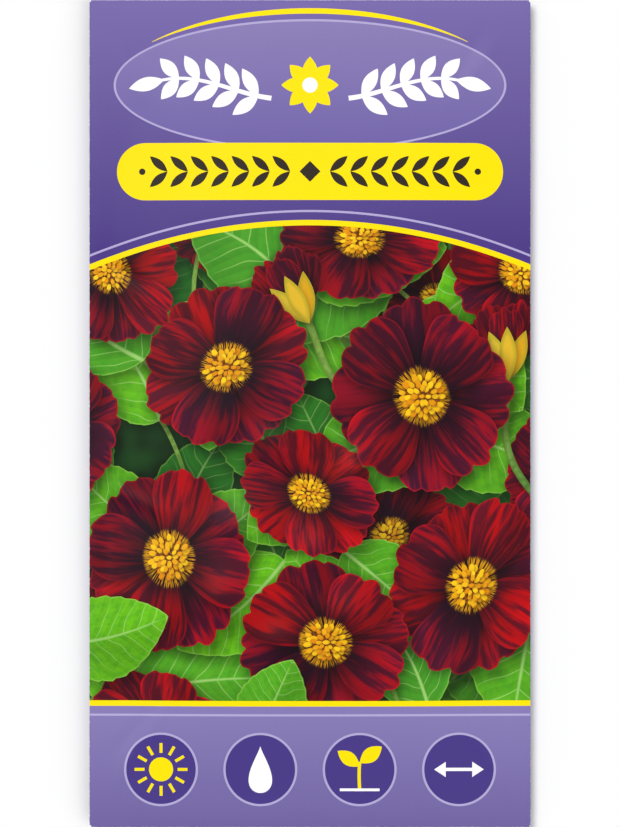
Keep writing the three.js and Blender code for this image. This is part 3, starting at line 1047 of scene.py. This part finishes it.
class Nodes:
    """A node tree under construction."""

    def __init__(self, tree):
        self.tree = tree

    def feed(self, socket, value):
        """Links a value, or sets a constant, which can be the sRGB code of a colour."""
        if isinstance(value, Value):
            self.tree.links.new(value.socket, socket)
        else:
            socket.default_value = srgb(value) if str(value).startswith("#") else value

    def node(self, kind, settings=None, inputs=None, output=0):
        """Adds a node: its settings first, then the values or links of its sockets."""
        node = self.tree.nodes.new(kind)
        for name, value in (settings or {}).items():
            setattr(node, name, value)
        for name, value in (inputs or {}).items():
            self.feed(node.inputs[name], value)
        return Value(self, node.outputs[output])

    def math(self, operation, *values):
        return self.node("ShaderNodeMath", {"operation": operation}, dict(enumerate(values)))

    def vector(self, x, y, z=0.0):
        return self.node("ShaderNodeCombineXYZ", None, {0: x, 1: y, 2: z})

    def parts(self, vector):
        return [self.node("ShaderNodeSeparateXYZ", None, {0: vector}, k) for k in range(3)]

    def noise(self, vector, scale=1.0, detail=2.0, roughness=0.5):
        inputs = {"Vector": vector, "Scale": scale, "Detail": detail, "Roughness": roughness}
        return self.node("ShaderNodeTexNoise", None, inputs)

    def slope(self, start, end, value, to_start=0.0, to_end=1.0, kind="SMOOTHSTEP"):
        """Goes from one value to another, by default 0 to 1, while value goes from start to end;
        either may be the greater."""
        inputs = {"Value": value, "From Min": start, "From Max": end}
        inputs |= {"To Min": to_start, "To Max": to_end}
        return self.node("ShaderNodeMapRange", {"interpolation_type": kind}, inputs)


class Finish(Nodes):
    """A material under construction."""

    def __init__(self, name):
        self.material = bpy.data.materials.new(name)
        self.material.use_nodes = True
        super().__init__(self.material.node_tree)
        self.surface = self.tree.nodes["Principled BSDF"]

    def mix(self, share, first, second, blend="MIX"):
        settings = {"data_type": "RGBA", "blend_type": blend}
        return self.node("ShaderNodeMix", settings, {0: share, 6: first, 7: second}, 2)

    def shade(self, colour, brightness):
        return self.mix(1.0, colour, brightness, blend="MULTIPLY")

    def own(self):
        """The coordinates of the printed shape itself."""
        return self.parts(self.node("ShaderNodeUVMap", {"uv_map": "motif"}))[:2]

    def attribute(self, name):
        return self.node("ShaderNodeAttribute", {"attribute_name": name}, output=2)

    def place(self):
        return self.node("ShaderNodeTexCoord", output=3)

    def bump(self, height, strength, distance):
        """Normals from a height between 0 and 1."""
        inputs = {"Height": height, "Strength": strength, "Distance": distance}
        self.feed(self.surface.inputs["Normal"], self.node("ShaderNodeBump", None, inputs))

    def done(self, colour, roughness, reflection=0.5):
        values = {"Base Color": colour, "Roughness": roughness, "Specular IOR Level": reflection}
        for name, value in values.items():
            self.feed(self.surface.inputs[name], value)
        return self.material


# --- inks and papers ---


WORN_SIDE, WORN_END = 0.14, 0.2  # width of the strips along the folds where the ink is worn


def printed(name, ink):
    """Coated paper in one ink: a satin sheen, faint fibres, and folds worn here and there."""
    finish = Finish(name)
    colour = ink(finish) if callable(ink) else ink
    colour = finish.shade(colour, finish.attribute("light"))
    place = finish.place()
    x, y, _ = finish.parts(place)
    fibres = finish.noise(place, 2600.0, 3.0, 0.6)
    flecks = finish.noise(place, 700.0, 3.0, 0.6)
    stretches = finish.noise(place, 80.0, 2.0)
    at_side = finish.slope((WIDTH / 2 - WORN_SIDE) * MM, WIDTH / 2 * MM, abs(x))
    at_end = finish.slope((HEIGHT / 2 - WORN_END) * MM, HEIGHT / 2 * MM, abs(y))
    worn = finish.math("MAXIMUM", at_side, at_end) * finish.slope(0.48, 0.72, stretches)
    worn = worn * finish.slope(0.25, 0.75, flecks)
    colour = finish.mix(worn * 0.35, colour, "#f4f2ee")
    finish.bump(fibres, 0.12, 0.00002)
    roughness = 0.42 + 0.06 * flecks + 0.15 * worn
    return finish.done(finish.shade(colour, 0.97 + 0.06 * fibres), roughness, reflection=0.1)


def petal_ink(finish):
    """Velvet petals: red streaks on maroon, nearly black and then golden towards the base."""
    along, across = finish.own()
    tone, inset = finish.attribute("tone"), finish.attribute("inset")
    fine = finish.noise(finish.vector(along * 2.2 + tone * 17, across * 8.0, tone * 31), 1.0, 3.0)
    broad = finish.noise(finish.vector(along * 1.3 + tone * 11, across * 2.4, tone * 23))
    streaks = finish.slope(0.44, 0.6, fine * 0.5 + broad * 0.5)
    ground = finish.mix(tone, "#340a22", "#580819")
    bright = finish.mix(tone, "#76081c", "#ae070c")
    colour = finish.mix(streaks, ground, bright)
    reach = finish.slope(0.82 - 0.3 * tone, 0.15, along)
    colour = finish.mix(reach * 0.96, colour, "#150b19")
    rim = finish.slope(0.45, 0.05, inset) * finish.slope(0.4, 0.8, along)
    colour = finish.mix(rim * 0.4, colour, "#a80f1a")
    lashes = finish.noise(finish.vector(across * 11.0, tone * 9 + along * 1.5), 1.0, 1.0)
    golden = finish.slope(0.02, -0.02, along - 0.18 - 0.26 * lashes)
    fringe = finish.mix(finish.slope(0.5, 0.55, lashes), "#f2ab12", "#3b1018")
    return finish.mix(golden, colour, fringe)


def disc_ink(finish):
    grain = finish.noise(finish.place(), 3000.0)
    return finish.mix(finish.slope(0.35, 0.65, grain), "#5a2a0c", "#a8620f")


def pollen_ink(finish):
    """Rounded anthers, from orange to yellow, lit from the upper left."""
    x, y = finish.own()
    off_x, off_y = x + 0.3, y - 0.4
    hollow = off_x * off_x + off_y * off_y
    colour = finish.mix(finish.attribute("tone"), "#e08a0a", "#ffd21c")
    return finish.mix(finish.slope(0.5, 1.9, hollow) * 0.8, colour, "#8d4407")


def leaf_ink(finish):
    """Blades puffed between their side veins, with a pale rib."""
    along, across = finish.own()
    tone, inset = finish.attribute("tone"), finish.attribute("inset")
    side = abs(across)
    web = finish.noise(finish.vector(along * 14.0, across * 7.0, tone * 40), 1.0, 4.0, 0.6)
    waver = finish.noise(finish.vector(along * 5.0, across * 2.0, tone * 40), 1.0, 0.0) - 0.5
    puff = finish.math("FRACT", (along - side * 0.26) * 8.0 + waver * 0.7 + tone * 3)
    colour = finish.mix(tone, "#2b7a2c", "#68b812")
    colour = finish.mix(finish.slope(0.38, 0.7, web) * 0.4, colour, "#2a8c1e")
    colour = finish.shade(colour, 0.92 + 0.13 * finish.slope(0.0, 0.9, puff))
    vein = finish.slope(0.06, 0.01, abs(puff - 0.5)) * finish.slope(1.0, 0.3, side) * 0.45
    rib = finish.slope(0.07, 0.02, side + along * 0.04) * finish.slope(1.0, 0.8, along)
    colour = finish.mix(finish.math("MAXIMUM", vein, rib * 0.75), colour, "#a9d879")
    return finish.mix(finish.slope(0.35, 0.1, inset) * 0.35, colour, "#a3d35c")


def stem_ink(finish):
    return finish.mix(finish.own()[0], "#8fb84e", "#4d7a34")


def sepal_ink(finish):
    colour = finish.mix(finish.attribute("tone"), "#d9a018", "#e8c93a")
    return finish.mix(finish.slope(0.9, 0.1, finish.attribute("inset")) * 0.6, colour, "#9c9a22")


def foliage_ink(finish):
    """The depth behind the leaves, out of focus."""
    blur = finish.noise(finish.place(), 110.0, 1.0)
    return finish.mix(finish.slope(0.35, 0.7, blur), "#10240f", "#1d4a1e")


def band_ink(top, bottom, upper, lower):
    """A band's colour, which changes evenly from a height at the top to one at the bottom."""

    def ink(finish):
        height = finish.parts(finish.place())[1]
        return finish.mix(finish.slope(top * MM, bottom * MM, height, kind="LINEAR"), upper, lower)

    return ink


INKS = {
    "foliage": foliage_ink,
    "leaf": leaf_ink,
    "stem": stem_ink,
    "sepal": sepal_ink,
    "petal": petal_ink,
    "disc": disc_ink,
    "pollen": pollen_ink,
    "violet": band_ink(75, 30, "#7869aa", "#4d3b85"),
    "cushion": band_ink(71, 48, "#8a7db4", "#6e60a5"),
    "heather": band_ink(-53, -75, "#887cb6", "#6f629f"),
    "deep_violet": "#4a3a86",
    "lilac": "#b3a9d4",
    "yellow": "#fee401",
    "umber": "#322a21",
    "white": "#fdfdfd",
}
BARE_PAPERS = {"bare_paper": "#efece4", "cut_edge": "#f4f1ea"}


def bare_paper(name, colour):
    """Uncoated paper, as on the sheet's inside and its cut edges."""
    finish = Finish(name)
    fibres = finish.noise(finish.place(), 1800.0, 4.0, 0.7)
    finish.bump(fibres, 0.3, 0.00004)
    return finish.done(finish.shade(colour, 0.92 + 0.12 * fibres), 0.85)


def dried_glue():
    finish = Finish("dried_glue")
    bubbles = finish.noise(finish.place(), 700.0, 3.0)
    finish.bump(bubbles, 0.3, 0.00003)
    return finish.done(finish.mix(bubbles, "#d9cfae", "#efe8d2"), 0.35 + 0.3 * bubbles)


def seed_husk():
    """A corky husk, darker in its furrows."""
    finish = Finish("seed_husk")
    cork = finish.noise(finish.place(), 900.0, 5.0, 0.7)
    colour = finish.mix(finish.slope(0.3, 0.7, cork), "#8d6f42", "#c9ad7c")
    furrow = finish.slope(0.6, 0.1, finish.attribute("furrow"))
    finish.bump(cork, 0.6, 0.0002)
    return finish.done(finish.mix(furrow * 0.6, colour, "#5d4426"), 0.8 + 0.15 * cork)


# --- seeds ---

SEED_FIT = 0.95  # keeps the finer husk inside the plain seed's place
SEED_RIDGES, SEED_WRINKLES, SEED_TWIST = 3, 9, 5
SEED_INPUTS = {
    "Length": 7.6 * MM,
    "Width": 6.8 * MM,
    "Depth": 5.8 * MM,
    "Ridge Height": 0.07,
    "Wrinkle Height": 0.03,
    "Pit Depth": 0.07,
    "Size": 1.0,
    "Phase": 0.0,
    "Turn": 0.0,
    "Place": (0.0, 0.0, 0.0),
    "Husk": None,
}
SOCKETS = {float: "NodeSocketFloat", tuple: "NodeSocketVector", type(None): "NodeSocketMaterial"}


def named_inputs(nodes):
    """Gives the seed's tree its inputs, and returns them in their order."""
    for name, value in SEED_INPUTS.items():
        kind = SOCKETS[type(value)]
        socket = nodes.tree.interface.new_socket(name, in_out="INPUT", socket_type=kind)
        if value is not None:
            socket.default_value = value
    return [nodes.node("NodeGroupInput", output=name) for name in SEED_INPUTS]


def seed_tree():
    """Geometry nodes for one ridged and wrinkled seed, with its furrows marked for the husk."""
    tree = bpy.data.node_groups.new("seed", "GeometryNodeTree")
    nodes = Nodes(tree)
    length, width, depth, ridge_height, wrinkle_height, pit_depth, *given = named_inputs(nodes)
    size, phase, turn, place, husk = given
    tree.interface.new_socket("Seed", in_out="OUTPUT", socket_type="NodeSocketGeometry")

    def node(kind, **inputs):
        return nodes.node("GeometryNode" + kind, None, inputs)

    ball = node("MeshIcoSphere", Radius=1.0, Subdivisions=5)
    x, y, z = nodes.parts(node("InputPosition"))
    angle = nodes.math("ARCTAN2", z, y)
    girth = nodes.math("SQRT", y * y + z * z)
    ridge = ridge_height * nodes.math("COSINE", SEED_RIDGES * angle + phase)
    wave = SEED_WRINKLES * angle + SEED_TWIST * x + phase
    wrinkle = wrinkle_height * nodes.math("SINE", wave)
    cork = nodes.noise(nodes.vector(x + phase * 3, y, z), 5.0, 4.0, 0.6)
    relief = girth * (ridge + wrinkle) + (cork - 0.5) * pit_depth
    swell = (1 - ridge_height + relief) * size * (SEED_FIT / 2)
    stretched = nodes.vector(x * swell * length, y * swell * width, z * swell * depth)
    marked = nodes.node(
        "GeometryNodeStoreNamedAttribute",
        {"data_type": "FLOAT", "domain": "POINT"},
        {"Geometry": ball, "Name": "furrow", "Value": relief * 5 + 0.5},
    )
    shaped = node("SetPosition", Geometry=marked, Position=stretched)
    heading = nodes.vector(0.0, 0.0, turn)
    placed = node("Transform", Geometry=shaped, Rotation=heading, Translation=place)
    real = node("RealizeInstances", Geometry=node("SetShadeSmooth", Geometry=placed))
    husked = node("SetMaterial", Geometry=real, Material=husk)
    nodes.feed(tree.nodes.new("NodeGroupOutput").inputs[0], husked)
    return tree


def grown(tree, name, values):
    """The plain mesh that a tree makes from its named inputs."""
    maker = new_object("maker", bpy.data.meshes.new("maker"))
    modifier = maker.modifiers.new("seed", "NODES")
    modifier.node_group = tree
    for socket in tree.interface.items_tree:
        if socket.in_out == "INPUT" and socket.name in values:
            modifier[socket.identifier] = values[socket.name]
    graph = bpy.context.evaluated_depsgraph_get()
    mesh = bpy.data.meshes.new_from_object(maker.evaluated_get(graph))
    bpy.data.objects.remove(maker)
    mesh.name = name
    mesh.materials.pop(index=0)  # the ball comes with an empty slot of its own
    return mesh


def add_seeds():
    tree, husk = seed_tree(), seed_husk()
    for k, (x, y, turn, size) in enumerate(SEEDS, 1):
        low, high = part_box(f"seed_{k}")
        place = (x * MM, y * MM, (low.z + high.z) / 2)
        values = {"Size": size, "Phase": k - 1.0, "Turn": math.radians(turn)}
        mesh = grown(tree, f"dry_seed_{k}", values | {"Place": place, "Husk": husk})
        add_piece(mesh, "seed_husk", f"seed_{k}")


# --- floor, light and camera ---

FLOOR_REACH = 12000
FLOOR_Z = -0.04
HORIZON, SKY = 0.98, 0.28  # brightness of the studio round the horizon and overhead
HORIZON_HEIGHT, SKY_HEIGHT = 0.1, 0.3  # as the sine of the height above the horizon
CAMERA_HEIGHT = 0.9
FRAME_HEIGHT = HEIGHT * MM  # what the picture takes in at the height of the folded edges
SENSOR = 36


def add_floor():
    corners = box(-FLOOR_REACH, FLOOR_REACH, -FLOOR_REACH, FLOOR_REACH)
    mesh = new_mesh("floor", np.insert(corners, 2, FLOOR_Z, axis=1), np.array([(0, 1, 2, 3)]))
    mesh.materials.append(Finish("floor").done((0.95, 0.95, 0.95, 1), 0.9, reflection=0.0))
    new_object("floor", mesh)


def add_sun(name, heading, height, strength, softness):
    """A soft lamp a long way off, so that it lights the whole floor evenly."""
    data = bpy.data.lights.new(name, "SUN")
    data.energy, data.angle = strength, math.radians(softness)
    level, rise = toward(height)
    source = Vector((*toward(heading, level), rise))
    new_object(name, data).rotation_euler = (-source).to_track_quat("-Z", "Y").to_euler()


def add_studio():
    """Bright low walls, a dimmer ceiling, a soft key from the upper left and a softer fill."""
    world = bpy.data.worlds.new("studio")
    bpy.context.scene.world = world
    world.use_nodes = True
    nodes = Nodes(world.node_tree)
    height = nodes.parts(nodes.node("ShaderNodeTexCoord"))[2]
    glow = nodes.slope(HORIZON_HEIGHT, SKY_HEIGHT, height, HORIZON, SKY)
    nodes.feed(world.node_tree.nodes["Background"].inputs["Color"], glow)
    add_sun("key", heading=130, height=60, strength=1.96, softness=30)
    add_sun("fill", heading=-30, height=45, strength=0.95, softness=60)


def add_camera():
    """Straight above the packet, which fills the frame's height."""
    data = bpy.data.cameras.new("camera")
    data.sensor_width = SENSOR
    data.lens = SENSOR * CAMERA_HEIGHT / FRAME_HEIGHT
    eye = new_object("camera", data)
    eye.location.z = CAMERA_HEIGHT + EDGE_Z * MM
    bpy.context.scene.camera = eye


# --- the whole scene ---

materials = {name: printed(name, ink) for name, ink in INKS.items()}
materials |= {name: bare_paper(name, colour) for name, colour in BARE_PAPERS.items()}
front = picture() + bands() + sprigs() + plate_ornament() + growing_signs()
paper = folded_packet(front + panel_print() + flap_print(), list(materials))
add_piece(paper, "printed_paper", "paper_envelope", *materials.values())
add_glue()
add_seeds()
add_floor()
add_studio()
add_camera()
bpy.context.scene.view_settings.view_transform = "Standard"
